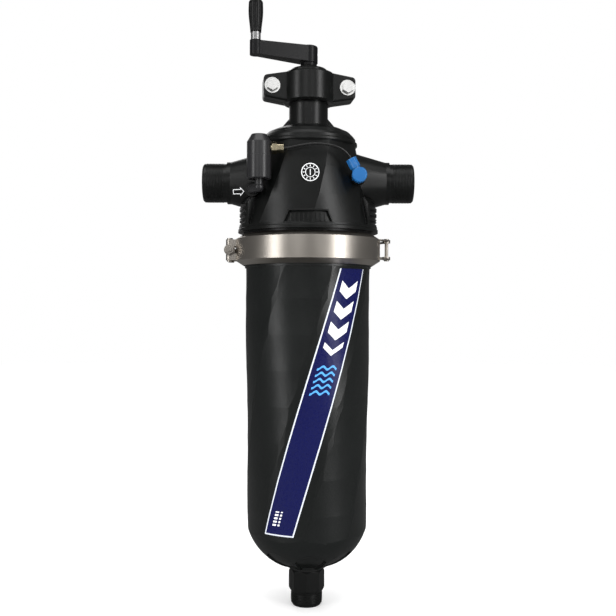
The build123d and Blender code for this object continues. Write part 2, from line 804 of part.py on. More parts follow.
def coupling_half(side):
    """Half housing with two bolt ears, side being -1 for the front."""
    mid = coupling_middle()
    low, high = mid - COUPLING_HEIGHT / 2, mid + COUPLING_HEIGHT / 2
    key = GROOVE_WIDTH - 0.8
    key_near = END_GAP / 2 + GROOVE_SETBACK + 0.4
    ring = turned(
        [
            (NECK_R + 0.4, low),
            (COUPLING_R - 3, low),
            (COUPLING_R, low + 3),
            (COUPLING_R, high - 3),
            (COUPLING_R - 3, high),
            (NECK_R + 0.4, high),
            (NECK_R + 0.4, mid + key_near + key),
            (NECK_R - GROOVE_DEPTH + SEAT, mid + key_near + key),
            (NECK_R - GROOVE_DEPTH + SEAT, mid + key_near),
            (gasket_r() + SEAT, mid + key_near),
            (gasket_r() + SEAT, mid - key_near),
            (NECK_R - GROOVE_DEPTH + SEAT, mid - key_near),
            (NECK_R - GROOVE_DEPTH + SEAT, mid - key_near - key),
            (NECK_R + 0.4, mid - key_near - key),
        ]
    )
    end, inner = EAR_END_HEIGHT / 2, COUPLING_HEIGHT / 2
    ear_outline = corners(
        (-EAR_REACH, -end), (-NECK_R, -inner), (NECK_R, -inner), (EAR_REACH, -end),
        (EAR_REACH, end), (NECK_R, inner), (-NECK_R, inner), (-EAR_REACH, end))
    ear_outline = fillet(ear_outline.vertices().filter_by_position(Axis.X, EAR_REACH - 1, EAR_REACH + 1), 6)
    ear_outline = fillet(ear_outline.vertices().filter_by_position(Axis.X, -EAR_REACH - 1, 1 - EAR_REACH), 6)
    ears = extrude(Plane.XZ * ear_outline, amount=EAR_DEPTH, dir=(0, -1, 0))
    front = ears.faces().sort_by(Axis.Y)[0]
    ears = fillet(front.edges(), 3.0)
    ears = Pos(0, 0, mid) * ears - rod(gasket_r() + 3, low - 1, high + 1)
    half = ring & (Pos(0, -COUPLING_R, mid) * Box(3 * COUPLING_R, 2 * COUPLING_R, 2 * COUPLING_HEIGHT))
    half += ears
    half -= Pos(0, 0, mid) * Box(3 * EAR_REACH, EAR_GAP, 2 * COUPLING_HEIGHT)
    for axis in coupling_bolt_axes():
        hole = axis * (Rot(90, 0, 0) * Cylinder(COUPLING_BOLT_R + 0.5, 4 * EAR_DEPTH))
        half -= hole
    turn = COUPLING_TURN if side < 0 else COUPLING_TURN + 180
    return Rot(0, 0, turn) * half


def gasket_r():
    return NECK_R + 5.65


def coupling_gasket():
    """C-section rubber ring across the gap between neck and cover."""
    mid, half = coupling_middle(), END_GAP / 2 + GROOVE_SETBACK - 0.2
    inner = NECK_R + RUN
    return turned(
        [
            (inner, mid - half),
            (gasket_r(), mid - half),
            (gasket_r(), mid + half),
            (inner, mid + half),
            (inner, mid + 3),
            (inner + 2.8, mid + 3),
            (inner + 2.8, mid - 3),
            (inner, mid - 3),
        ]
    )


def on_coupling(pieces):
    """Pieces gathered in the coupling's own frame, turned with it about the neck."""
    turned_pieces = [Rot(0, 0, COUPLING_TURN) * piece for piece in pieces]
    return Compound(children=[piece.solid() for piece in turned_pieces])


def coupling_bolts():
    """Two hexagon bolts, heads in front."""
    pieces = []
    for axis in coupling_bolt_axes():
        head_y = EAR_DEPTH + WASHER_T + 2 * SEAT
        head_at = axis * along((0, -1, 0), (0, -head_y, 0))
        shank_at = axis * along((0, 1, 0), (0, -head_y, 0))
        shank = shank_at * Cylinder(COUPLING_BOLT_R, 2 * head_y + 11, align=BASE)
        pieces.append(shank + head_at * hexagon(16.0, 6.4))
    return on_coupling(pieces)


def coupling_washers():
    """Four washers between the ears and the bolts' heads and nuts."""
    pieces = []
    washer = Cylinder(WASHER_R, WASHER_T, align=BASE) - Cylinder(COUPLING_BOLT_R + SEAT, WASHER_T, align=BASE)
    for axis in coupling_bolt_axes():
        for side in (-1, 1):
            pieces.append(axis * along((0, side, 0), (0, side * (EAR_DEPTH + SEAT), 0)) * washer)
    return on_coupling(pieces)


def coupling_nuts():
    """Two nuts behind the coupling."""
    nut = hexagon(16.0, 8.4) - Cylinder(COUPLING_BOLT_R + RUN, 10, align=BASE)
    at_y = EAR_DEPTH + WASHER_T + 2 * SEAT
    return on_coupling([axis * along((0, 1, 0), (0, at_y, 0)) * nut for axis in coupling_bolt_axes()])


# Shaft gland
def gland_cover():
    """Grooved cover that closes the neck and carries the shaft."""
    foot = NECK_TOP_Z + END_GAP
    groove_low = foot + GROOVE_SETBACK
    groove_top = groove_low + GROOVE_WIDTH
    skirt_bore = NECK_R - 7
    return turned(
        [
            (SHAFT_R + 3, foot + 4),
            (SHAFT_R + 6, foot + 4),
            (SHAFT_R + 6, foot + 14),
            (skirt_bore, foot + 14),
            (skirt_bore, foot),
            (NECK_R, foot),
            (NECK_R, groove_low),
            (NECK_R - GROOVE_DEPTH, groove_low),
            (NECK_R - GROOVE_DEPTH, groove_top),
            (NECK_R, groove_top),
            (NECK_R, COVER_RIM_Z),
            (NECK_R + 1.6, COVER_RIM_Z),
            (NECK_R + 1.6, COVER_RIM_Z + 1.4),
            (NECK_R - 3.2, COVER_TOP_Z - 3.4),
            (SHAFT_R + 9, COVER_TOP_Z),
            (SHAFT_R + 3, COVER_TOP_Z),
        ]
    )


def gland_foot_z():
    return NECK_TOP_Z + END_GAP + 4


def shaft_bush():
    """Two-part plain bearing sleeve inside the cover, split by the seals."""
    outer = SHAFT_R + 3 - RUN
    inner = SHAFT_R + RUN
    middle = (gland_foot_z() + COVER_TOP_Z) / 2
    lower = tube(outer, inner, gland_foot_z(), middle - 3.2)
    upper = tube(outer, inner, middle + 3.2, COVER_TOP_Z)
    return Compound(children=[lower.solid(), upper.solid()])


def shaft_seals():
    """Two rings round the shaft between the bearing sleeves."""
    middle = (gland_foot_z() + COVER_TOP_Z) / 2
    rings = [seal_ring(SHAFT_R + 1.5, 1.43, middle + side * 1.6) for side in (-1, 1)]
    return Compound(children=[ring.solid() for ring in rings])


def thrust_washer():
    """Washer that takes the shaft's lift under the cover."""
    return tube(SHAFT_R + 5, SHAFT_R + RUN, gland_foot_z() - 1.6, gland_foot_z() - SEAT)


def drive_shaft():
    """Steel shaft: round in the gland, collared below it and square where it drives the collector."""
    collar_top = gland_foot_z() - 1.6 - SEAT
    shaft = rod(SHAFT_R, collar_top - 1, HUB_TOP_Z - 6)
    shaft += rod(SHAFT_R + 4, collar_top - 4, collar_top)
    square_foot = NUT_Z - 3
    square = Box(SQUARE, SQUARE, collar_top - 3 - square_foot, align=BASE)
    shaft += Pos(0, 0, square_foot) * square
    ring_z = COVER_TOP_Z + SEAT
    return shaft - tube(SHAFT_R + 1, SHAFT_R - 0.8, ring_z, ring_z + 1.3)


def retaining_ring():
    """Snap ring in the shaft's groove, open at one side."""
    low = COVER_TOP_Z + SEAT
    ring = tube(SHAFT_R + 2.4, SHAFT_R - 0.75, low + RUN, low + 1.2)
    return ring - Pos(0, 2 * SHAFT_R - 3, low) * Box(5, 2 * SHAFT_R, 4)


# Screen
def ring_top_z():
    return SCREEN_TOP_Z + 24


def screen_mesh():
    """Woven mesh sleeve, a plain thin tube."""
    return tube(MESH_R + MESH_T, MESH_R, SCREEN_FOOT_Z, SCREEN_TOP_Z)


def screen_cage():
    """Moulded support cage round the mesh: rings joined by upright bars."""
    cage = tube(CAGE_R + CAGE_T, CAGE_R, SCREEN_FOOT_Z, SCREEN_TOP_Z)
    row_pitch = (SCREEN_TOP_Z - SCREEN_FOOT_Z - CAGE_BAR) / CAGE_ROWS
    width = 2 * pi * CAGE_R / CAGE_RIBS - CAGE_BAR
    for row in range(CAGE_ROWS):
        low = SCREEN_FOOT_Z + CAGE_BAR + row_pitch * row
        for i in range(CAGE_RIBS // 2):
            cut = Pos(0, 0, low) * Box(3 * CAGE_R, width, row_pitch - CAGE_BAR, align=BASE)
            cage -= Rot(0, 0, 360 / CAGE_RIBS * i) * cut
    return cage


def screen_top_ring():
    """Upper end ring with a seal groove, pushed into the head's socket."""
    outer = SOCKET_R - 0.2
    seal_z = SCREEN_TOP_Z + 14
    return turned(
        [
            (MESH_R - 3, SCREEN_TOP_Z + SEAT),
            (CAGE_R + CAGE_T + SEAT, SCREEN_TOP_Z + SEAT),
            (CAGE_R + CAGE_T + SEAT, SCREEN_TOP_Z - 4),
            (outer, SCREEN_TOP_Z - 4),
            (outer, seal_z - 2.2),
            (outer - 4, seal_z - 2.2),
            (outer - 4, seal_z + 2.2),
            (outer, seal_z + 2.2),
            (outer, ring_top_z()),
            (MESH_R - 3, ring_top_z()),
        ]
    )


def screen_top_seal():
    """Ring between the screen's upper end and the head."""
    section = 2.0
    return seal_ring(SOCKET_R - RUN - section, section, SCREEN_TOP_Z + 14)


def screen_bottom_cap():
    """Lower end cap that carries the collector's bush and seals in the bowl."""
    outer = cap_socket_r() - 0.2
    seal_z = cap_foot_z() + 8
    bush_r = TUBE_R + 4
    return turned(
        [
            (bush_r + SEAT, SCREEN_FOOT_Z - SEAT),
            (CAGE_R + CAGE_T + SEAT, SCREEN_FOOT_Z - SEAT),
            (CAGE_R + CAGE_T + SEAT, SCREEN_FOOT_Z + 4),
            (outer, SCREEN_FOOT_Z + 4),
            (outer, seal_z + 2.2),
            (outer - 4, seal_z + 2.2),
            (outer - 4, seal_z - 2.2),
            (outer, seal_z - 2.2),
            (outer, cap_foot_z()),
            (bush_r + 4, cap_foot_z()),
            (bush_r + 4, cap_foot_z() + 5.5),
            (bush_r + SEAT, cap_foot_z() + 5.5),
        ]
    )


def screen_bottom_seal():
    """Ring between the screen's lower end and the bowl."""
    section = 2.0
    return seal_ring(cap_socket_r() - RUN - section, section, cap_foot_z() + 8)


def lower_bush():
    """Flanged sleeve that guides the collector through the lower cap."""
    low = cap_foot_z() + 5.5
    sleeve = tube(TUBE_R + 4, TUBE_R + RUN, low, SCREEN_FOOT_Z - SEAT)
    return sleeve + tube(TUBE_R + 8, TUBE_R + RUN, SCREEN_FOOT_Z - SEAT, SCREEN_FOOT_Z + 2)


def collector_wiper():
    """Lip seal round the collector, below its bush."""
    low = cap_foot_z() + 0.5
    return tube(TUBE_R + 8 - SEAT, TUBE_R + RUN, low, low + 4.7)


# Collector
def nozzle_heights():
    first = SCREEN_TOP_Z - 15
    return [first - TRAVEL * i for i in range(NOZZLES)]


def screw_top_z():
    return NUT_Z + NUT_HEIGHT + TRAVEL + 3


def collector_foot_z():
    return cap_foot_z() - 2


def nozzle_port(height, turn):
    """Placement of one nozzle, pointing out from the axis."""
    return Rot(0, 0, turn) * along((1, 0, 0), (0, 0, height))


def nozzle_places():
    return [nozzle_port(height, 90 * i) for i, height in enumerate(nozzle_heights())]


def collector_tube():
    """Hollow collector with a driving screw on top and a boss for each nozzle."""
    neck_z = NUT_Z - 6
    body = rod(TUBE_R, collector_foot_z(), neck_z) + rod(SCREW_R, neck_z - 1, screw_top_z())
    for spot in nozzle_places():
        body += spot * Cylinder(NOZZLE_R + 3, TUBE_R + 7, align=BASE)
    body -= rod(TUBE_BORE_R, collector_foot_z() - 1, SCREEN_TOP_Z + 8)
    square_bore = Box(SQUARE + 0.2, SQUARE + 0.2, screw_top_z() - neck_z + 4, align=BASE)
    body -= Pos(0, 0, neck_z - 3) * square_bore
    for spot in nozzle_places():
        body -= spot * Cylinder(NOZZLE_R + SEAT, TUBE_R + 8, align=BASE)
    return body


def suction_nozzles():
    """Flared mouths that pass close to the mesh."""
    pieces = []
    tip = MESH_R - NOZZLE_GAP
    shoulder = TUBE_R + 7 + SEAT
    outline = [
        (NOZZLE_R - 2, TUBE_R),
        (NOZZLE_R, TUBE_R),
        (NOZZLE_R, shoulder),
        (NOZZLE_R + 3, shoulder),
        (NOZZLE_R + 3, shoulder + 3),
        (NOZZLE_R + 1, shoulder + 5),
        (NOZZLE_R + 1, tip - 8),
        (NOZZLE_R + 4, tip - 1.5),
        (NOZZLE_R + 4, tip - 0.7),
        (NOZZLE_R + 1.5, tip - 0.7),
        (NOZZLE_R - 2, tip - 7),
    ]
    nozzle = turned(outline)
    for spot in nozzle_places():
        pieces.append((spot * nozzle).solid())
    return Compound(children=pieces)


def drive_nut():
    """Fixed nut that the collector's screw climbs, flanged under the deck."""
    bore = SCREW_R + 0.08
    body = tube(NUT_R, bore, NUT_Z - 1, NUT_Z + NUT_HEIGHT)
    return body + tube(nut_flange_r(), bore, NUT_Z - 3, NUT_Z - SEAT)


def nut_flange_r():
    return NUT_R + 4


# Crank
def arm_end():
    return (ARM_RADIUS * cos(radians(ARM_ANGLE)), ARM_RADIUS * sin(radians(ARM_ANGLE)))


def crank_arm():
    """Cast arm: hub, tapering web and end boss."""
    lean = atan((HUB_R - ARM_END_R) / ARM_RADIUS)
    hub_x, hub_y = (HUB_R - 1) * sin(lean), (HUB_R - 1) * cos(lean)
    end_x, end_y = ARM_RADIUS + (ARM_END_R - 1) * sin(lean), (ARM_END_R - 1) * cos(lean)
    plan = corners((hub_x, hub_y), (hub_x, -hub_y), (end_x, -end_y), (end_x, end_y))
    web = slab(plan, HUB_FOOT_Z, HUB_TOP_Z)
    side = corners(
        (-HUB_R, HUB_ARM_Z + 0.5), (-HUB_R, HUB_TOP_Z - 1.2), (ARM_RADIUS + 20, ARM_END_TOP_Z - 1.2),
        (ARM_RADIUS + 20, ARM_END_LOW_Z + 1.0))
    arm = web & extrude(Plane.XZ * side, amount=2 * HUB_R, both=True)
    arm += Pos(ARM_RADIUS, 0, 0) * rod(ARM_END_R, ARM_END_LOW_Z, ARM_END_TOP_Z)
    arm += turned(
        [
            (0, HUB_FOOT_Z),
            (HUB_R - 1.2, HUB_FOOT_Z),
            (HUB_R - 1.2, HUB_ARM_Z),
            (HUB_R, HUB_ARM_Z + 0.8),
            (HUB_R, HUB_TOP_Z - 2.5),
            (HUB_R - 0.9, HUB_TOP_Z - 0.9),
            (HUB_R - 3, HUB_TOP_Z),
            (0, HUB_TOP_Z),
        ]
    )
    arm -= rod(SHAFT_R + RUN, HUB_FOOT_Z - 1, HUB_TOP_Z - 6 + SEAT)
    arm -= Pos(ARM_RADIUS, 0, 0) * rod(GRIP_BOLT_R + RUN, ARM_END_TOP_Z - 16, ARM_END_TOP_Z + 1)
    arm = Rot(0, 0, ARM_ANGLE) * arm
    return arm - screw_place() * Cylinder(3.0 + RUN, HUB_R, align=BASE)


def screw_place():
    """Placement of the set screw's inner end, pointing out through the hub's far side."""
    return along((1, 0, 0), (SHAFT_R + 0.2, 0, HUB_TOP_Z - 13))


def crank_set_screw():
    """Headless screw that locks the hub to the shaft."""
    screw = Cylinder(3.0, HUB_R - SHAFT_R - 0.8, align=BASE)
    socket = Pos(0, 0, HUB_R - SHAFT_R - 3) * hexagon(3.0, 4)
    return screw_place() * (screw - socket)


def grip_foot_z():
    return ARM_END_TOP_Z + FERRULE_HEIGHT + APART


def grip_place():
    return Pos(arm_end()[0], arm_end()[1], 0)


def grip_ferrule():
    """Plain collar between the arm's end boss and the grip."""
    low, high = ARM_END_TOP_Z + SEAT, ARM_END_TOP_Z + FERRULE_HEIGHT
    return grip_place() * tube(FERRULE_R, GRIP_BOLT_R + RUN, low, high)


def grip():
    """Turned handle that swells towards its rounded top."""
    foot = grip_foot_z()
    top = foot + GRIP_LENGTH
    flank = Spline(
        (GRIP_FOOT_R, foot),
        (GRIP_FOOT_R + 1.5, foot + 0.3 * GRIP_LENGTH),
        (GRIP_R, foot + 0.62 * GRIP_LENGTH),
        (GRIP_R - 0.3, top - 5),
        tangents=[(0.05, 1), (-0.04, 1)],
    )
    crown = ThreePointArc((GRIP_R - 0.3, top - 5), (GRIP_R - 1.9, top - 1.4), (GRIP_R - 5.2, top))
    edges = [
        flank,
        crown,
        Line((GRIP_R - 5.2, top), (0, top)),
        Line((0, top), (0, foot)),
        Line((0, foot), (GRIP_FOOT_R, foot)),
    ]
    body = revolve(make_face(Plane.XZ * Curve(edges)), axis=Axis.Z)
    body -= rod(GRIP_BOLT_R + RUN, foot - 1, top + 1)
    return grip_place() * (body - rod(grip_recess_r(), top - grip_recess(), top + 1))


def grip_recess_r():
    return GRIP_R - 5.6


def grip_recess():
    return 3.4


def grip_screw():
    """Shoulder screw that the grip turns on, threaded into the arm's boss."""
    head_z = grip_foot_z() + GRIP_LENGTH - grip_recess() + APART
    screw = rod(GRIP_BOLT_R, ARM_END_TOP_Z - 14, head_z + 1)
    screw += rod(grip_recess_r() - APART, head_z, head_z + 2.4)
    return grip_place() * screw


# Pressure indicator
def indicator_place():
    return Pos(INDICATOR_X, INDICATOR_Y, 0)


def indicator_body():
    """Lower housing of the pressure indicator with its piston bore."""
    body = rod(INDICATOR_R, INDICATOR_FOOT_Z, INDICATOR_SEAM_Z)
    body = chamfer(body.edges().filter_by(GeomType.CIRCLE).sort_by(Axis.Z)[0], 1.2)
    body -= rod(PISTON_R + RUN, INDICATOR_FOOT_Z + 14, INDICATOR_SEAM_Z + 1)
    body -= rod(elbow_stem_r() + SEAT, INDICATOR_FOOT_Z - 1, INDICATOR_FOOT_Z + 8)
    return indicator_place() * (body - rod(2.0, INDICATOR_FOOT_Z, INDICATOR_FOOT_Z + 15))


def indicator_cap():
    """Upper housing with a bevelled top, a side port and a hole for the pin."""
    low = INDICATOR_SEAM_Z + SEAT
    spring_room = indicator_spring_top()
    cap = turned(
        [
            (0, low),
            (INDICATOR_R, low),
            (INDICATOR_R, INDICATOR_SHOULDER_Z),
            (INDICATOR_R - 6.5, INDICATOR_TOP_Z),
            (0, INDICATOR_TOP_Z),
        ]
    )
    cap -= rod(PISTON_R + RUN, low - 1, spring_room)
    cap -= rod(PIN_R + RUN, low, INDICATOR_TOP_Z + 1)
    side_port = along((1, 0, 0), (PISTON_R, 0, FITTING_Z)) * Cylinder(4.0 + SEAT, INDICATOR_R, align=BASE)
    return indicator_place() * (cap - side_port)


def indicator_spring_top():
    return INDICATOR_TOP_Z - 7


def piston_top_z():
    return INDICATOR_FOOT_Z + 28


def indicator_pin():
    """Piston with a signal pin that rises out of the cap."""
    piston = turned(
        [
            (0, piston_top_z() - 10),
            (PISTON_R - 0.02, piston_top_z() - 10),
            (PISTON_R - 0.02, piston_top_z() - 7),
            (PISTON_R - 2.5, piston_top_z() - 7),
            (PISTON_R - 2.5, piston_top_z() - 3),
            (PISTON_R - 0.02, piston_top_z() - 3),
            (PISTON_R - 0.02, piston_top_z()),
            (PIN_R, piston_top_z()),
            (PIN_R, INDICATOR_TOP_Z - 0.6),
            (0, INDICATOR_TOP_Z - 0.6),
        ]
    )
    return indicator_place() * piston


def indicator_seal():
    """Ring in the piston's groove."""
    section = 1.15
    return indicator_place() * seal_ring(PISTON_R - 0.1 - section, section, piston_top_z() - 5)


def indicator_spring():
    """Coil that pushes the piston back down."""
    low, high = piston_top_z() + 0.8, indicator_spring_top() - 0.8
    turns = 5
    coil = Helix(pitch=(high - low) / turns, height=high - low, radius=PISTON_R - 2.2)
    start = Plane(origin=coil @ 0, z_dir=coil % 0)
    return indicator_place() * (Pos(0, 0, low) * sweep(start * RegularPolygon(0.65, 6), path=coil))


def elbow_stem_r():
    return 6.0


def indicator_elbow():
    """Bent nipple from the inlet horn's tapping up into the indicator."""
    bend = (INDICATOR_X, INDICATOR_Y, INLET_TAP[2])
    stem = indicator_place() * rod(elbow_stem_r(), INLET_TAP[2], INDICATOR_FOOT_Z + 7)
    knee = Pos(*bend) * Sphere(elbow_stem_r() + 1.0)
    tip = Vector(*INLET_TAP)
    run = tip - Vector(*bend)
    leg = along(tuple(run), bend) * Cylinder(elbow_stem_r() + 1.0, run.length - 0.5, align=BASE)
    leg -= Pos(0, INLET_TAP[1] - SEAT, 0) * Box(4 * PORT_REACH, PORT_REACH, PORT_REACH, align=BEHIND)
    inner = Vector(*INLET_TAP) - Vector(0, 2, 0)
    spigot = along((0, 1, 0), tuple(inner)) * Cylinder(TAP_R, TAP_DEPTH, align=BASE)
    return stem + knee + leg + spigot


def indicator_fitting():
    """Brass fitting in the indicator's side port, with a stub for the tube nut."""
    stem = Cylinder(4.0, INDICATOR_R - PISTON_R, align=BASE)
    stem += Pos(0, 0, INDICATOR_R - PISTON_R + SEAT - 2) * hexagon(FITTING_FLATS, 9)
    stem += Cylinder(5.0, fitting_stub_end(), align=BASE)
    stem -= Cylinder(MICROTUBE_R + RUN, fitting_stub_end() + 1, align=BASE)
    cut = Cylinder(2 * INDICATOR_R, INDICATOR_R - PISTON_R + SEAT, align=BASE) - Cylinder(4.0, 30, align=BASE)
    return fitting_place() * (stem - cut)


def fitting_place():
    """Placement of the side port, pointing out of the indicator along X."""
    return along((1, 0, 0), (INDICATOR_X + PISTON_R + 1, INDICATOR_Y, FITTING_Z))


def fitting_stub_end():
    return INDICATOR_R - PISTON_R + 14


def tube_nut(across, length, hollow):
    """Compression nut: hexagon with a wide bore for the stub and a narrow one for the tube."""
    nut = hexagon(across, length) - Cylinder(5.0 + SEAT, hollow + SEAT, align=BASE)
    nut = nut & Cylinder(across * 0.56, length, align=BASE)
    return nut - Cylinder(MICROTUBE_R + RUN, length + 1, align=BASE)


def fitting_nut():
    """Brass nut that grips the tube at the indicator."""
    start = INDICATOR_R - PISTON_R + 7 + 2 * SEAT
    return fitting_place() * (Pos(0, 0, start) * tube_nut(13.0, 10.0, 14 - 7))


def outlet_arm_direction():
    angle = radians(OUTLET_ARM_ANGLE)
    return (cos(angle), 0, sin(angle))


def outlet_arm_point(reach):
    """Point on the blue elbow's arm, counted from its body's axis."""
    step = outlet_arm_direction()
    return tuple(start + reach * unit for start, unit in zip(OUTLET_FITTING, step))


def outlet_fitting():
    """Plastic elbow in the outlet horn's tapping, its arm rising towards the tube."""
    x, _, z = OUTLET_FITTING
    face_y = OUTLET_TAP[1] - SEAT
    body_at = along((0, -1, 0), (x, face_y, z))
    depth = face_y - OUTLET_FITTING[1] + 8.0
    body = body_at * hexagon(19.0, 8.0)
    body += along((0, -1, 0), (x, face_y - 7.5, z)) * chamfered_drum(11.0, depth - 7.5)
    body += along((0, 1, 0), (x, face_y - 1, z)) * Cylinder(TAP_R, TAP_DEPTH, align=BASE)
    arm = along(outlet_arm_direction(), OUTLET_FITTING)
    body += arm * (Cylinder(6.4, 12.0, align=BASE) + Cylinder(5.0, 20.0, align=BASE))
    return body - arm * Pos(0, 0, 10.0) * Cylinder(MICROTUBE_R + RUN, 12, align=BASE)


def chamfered_drum(radius, length):
    """Short cylinder with both rims bevelled."""
    drum = Cylinder(radius, length, align=BASE)
    return chamfer(drum.edges().filter_by(GeomType.CIRCLE), 1.4)


def outlet_fitting_nut():
    """Plastic nut that grips the tube at the outlet."""
    place_nut = along(outlet_arm_direction(), outlet_arm_point(12.0 + SEAT))
    return place_nut * tube_nut(14.0, 14.5, 8.0)


def microtube_route():
    """Points of the pressure tube from the indicator's fitting to the blue elbow."""
    return [
        (INDICATOR_X + 27, INDICATOR_Y, FITTING_Z),
        (INDICATOR_X + 43, INDICATOR_Y, FITTING_Z),
        (-12.0, -83.0, 43.8),
        (4.5, -85.5, 45.9),
        (21.0, -84.5, 45.9),
        (36.0, -82.0, 44.1),
        (48.8, -79.0, 40.1),
        outlet_arm_point(33.0),
        outlet_arm_point(19.0),
    ]


def microtube():
    """Pressure tube held at both ends, bent in wide arcs past the front of the head."""
    points = [Vector(*point) for point in microtube_route()]
    radii = []
    for before, corner, after in zip(points, points[1:], points[2:]):
        turn = (corner - before).get_angle(after - corner)
        shorter = min((corner - before).length, (after - corner).length)
        radii.append(0.45 * shorter / tan(radians(turn / 2)))
    print("microtube arc radii", [round(radius, 1) for radius in radii])
    path = FilletPolyline(*points, radius=radii)
    start = Plane(origin=path @ 0, z_dir=path % 0)
    pipe = sweep(start * Circle(MICROTUBE_R), path=path)
    straight_volume = path.length * pi * MICROTUBE_R**2
    print("microtube length", round(path.length, 1), "volume share", pipe.volume / straight_volume)
    return pipe


def main():
    """Build every piece and write it under its own name."""
    pieces = {
        "head": head(),
        "bowl": bowl(),
        "body_seal": body_seal(),
        "drain_nipple": drain_nipple(),
        "drain_seal": drain_seal(),
        "clamp_band_front": clamp_band(-1),
        "clamp_band_rear": clamp_band(1),
        "clamp_hinge_pin": clamp_hinge_pin(),
        "clamp_trunnions": clamp_trunnions(),
        "clamp_bolt": clamp_bolt(),
        "clamp_nut": clamp_nut(),
        "coupling_half_front": coupling_half(-1),
        "coupling_half_rear": coupling_half(1),
        "coupling_gasket": coupling_gasket(),
        "coupling_bolts": coupling_bolts(),
        "coupling_washers": coupling_washers(),
        "coupling_nuts": coupling_nuts(),
        "gland_cover": gland_cover(),
        "shaft_bush": shaft_bush(),
        "shaft_seals": shaft_seals(),
        "thrust_washer": thrust_washer(),
        "drive_shaft": drive_shaft(),
        "retaining_ring": retaining_ring(),
        "drive_nut": drive_nut(),
        "collector_tube": collector_tube(),
        "suction_nozzles": suction_nozzles(),
        "screen_mesh": screen_mesh(),
        "screen_cage": screen_cage(),
        "screen_top_ring": screen_top_ring(),
        "screen_top_seal": screen_top_seal(),
        "screen_bottom_cap": screen_bottom_cap(),
        "screen_bottom_seal": screen_bottom_seal(),
        "lower_bush": lower_bush(),
        "collector_wiper": collector_wiper(),
        "crank_arm": crank_arm(),
        "crank_set_screw": crank_set_screw(),
        "grip_ferrule": grip_ferrule(),
        "grip": grip(),
        "grip_screw": grip_screw(),
        "indicator_body": indicator_body(),
        "indicator_cap": indicator_cap(),
        "indicator_pin": indicator_pin(),
        "indicator_seal": indicator_seal(),
        "indicator_spring": indicator_spring(),
        "indicator_elbow": indicator_elbow(),
        "indicator_fitting": indicator_fitting(),
        "fitting_nut": fitting_nut(),
        "microtube": microtube(),
        "outlet_fitting": outlet_fitting(),
        "outlet_fitting_nut": outlet_fitting_nut(),
    }
    for name, shape in pieces.items():
        place(name, shape)


main()
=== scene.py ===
import json
import math

import bmesh
import bpy
from mathutils import Euler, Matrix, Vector
from mathutils.bvhtree import BVHTree


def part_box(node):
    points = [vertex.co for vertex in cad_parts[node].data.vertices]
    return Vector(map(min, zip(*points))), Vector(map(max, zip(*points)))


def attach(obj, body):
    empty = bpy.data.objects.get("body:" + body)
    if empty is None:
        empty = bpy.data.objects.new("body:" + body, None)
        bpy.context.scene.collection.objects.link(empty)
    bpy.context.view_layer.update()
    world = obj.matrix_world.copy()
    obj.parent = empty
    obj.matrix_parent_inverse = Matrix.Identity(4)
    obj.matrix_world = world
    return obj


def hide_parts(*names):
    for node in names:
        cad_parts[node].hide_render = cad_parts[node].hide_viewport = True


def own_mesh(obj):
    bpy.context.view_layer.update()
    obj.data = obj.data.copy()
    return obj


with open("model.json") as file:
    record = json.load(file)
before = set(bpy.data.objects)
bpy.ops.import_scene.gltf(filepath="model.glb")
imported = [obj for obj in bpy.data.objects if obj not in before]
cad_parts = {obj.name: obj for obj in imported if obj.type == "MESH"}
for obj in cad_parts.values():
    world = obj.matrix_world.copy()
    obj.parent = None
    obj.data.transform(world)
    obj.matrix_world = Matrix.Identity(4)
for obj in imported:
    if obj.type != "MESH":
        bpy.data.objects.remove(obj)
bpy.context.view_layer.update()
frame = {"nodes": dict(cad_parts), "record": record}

# Places and sizes, in metres, in the frame of the CAD
AXIS_X = 0.1598
PORT_R = 0.0298
PORT_THREAD = 0.0325
DRAIN_R = 0.0239
DRAIN_THREAD = 0.0170
DRAIN_CHAMFER = 0.004
PIPE_PITCH = 0.00231
BOLT_PITCH = 0.00125
THREAD_SINK = 0.13
THREAD_CREST = 0.19
THREAD_RUN_OUT = 12
OUTLET_X = 2 * AXIS_X
DRAIN_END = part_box("drain_nipple")[0].z

CLAMP_BOLT_AT = (AXIS_X - 0.120, -0.0302, -0.1045)
CLAMP_BOLT_R = 0.0039
CLAMP_BOLT_THREAD = 0.048
BLUE_ARM_ANGLE = math.radians(118.0)
BLUE_FITTING = (AXIS_X + 0.075, -0.076, 0.002)
BLUE_NUT_OUT = 0.0132
BLUE_NUT_R = 0.0066
COLLAR_RIBS = 12
COLLAR_RISE = 0.0008
COLLAR_LENGTH = 0.0100
COLLAR_SINK = 0.0012
FLUTES = 14
FLUTE_DEPTH = 0.0006
FLUTE_FADE = 0.005
FLUTE_ROUNDING = 0.7
GRIP_RECESS_R = 0.00555
GRIP_RECESS = 0.0034
GRIP_BORE_R = 0.00405

# Stripe on the bowl: heights in metres, angles in degrees, slope in degrees a metre
LABEL_TOP = -0.1345
LABEL_FOOT = -0.5275
LABEL_ANGLE = -91.0
LABEL_SLOPE = 184.0
LABEL_LEVEL = -0.383
LABEL_WIDTH = 31.0
LABEL_LIFT = 0.00025
LABEL_SINK = -0.0002

# Print on the stripe, in millimetres across it and down from its top
LABEL_MM = (51.0, 393.0)
BORDER_MM = (2.6, 2.8)
CHEVRONS_MM = (30.0, 128.0)
CHEVRON_PITCH = 30.0
CHEVRON_SHARE = 0.52
CHEVRON_SLANT = 0.75
CHEVRON_HALF = 15.5
WAVES_MM = (142.0, 186.0)
WAVE_PITCH = 9.0
WAVE_SHARE = 0.36
WAVE_SWING = 2.2
WAVE_RATE = 0.42
WAVE_HALF = 15.0
TICKS_MM = (356.0, 378.0)
TICK_PITCH = 5.0
TICK_SHARE = 0.55
TICK_COLUMNS_MM = ((11.0, 17.0), (20.0, 23.0))

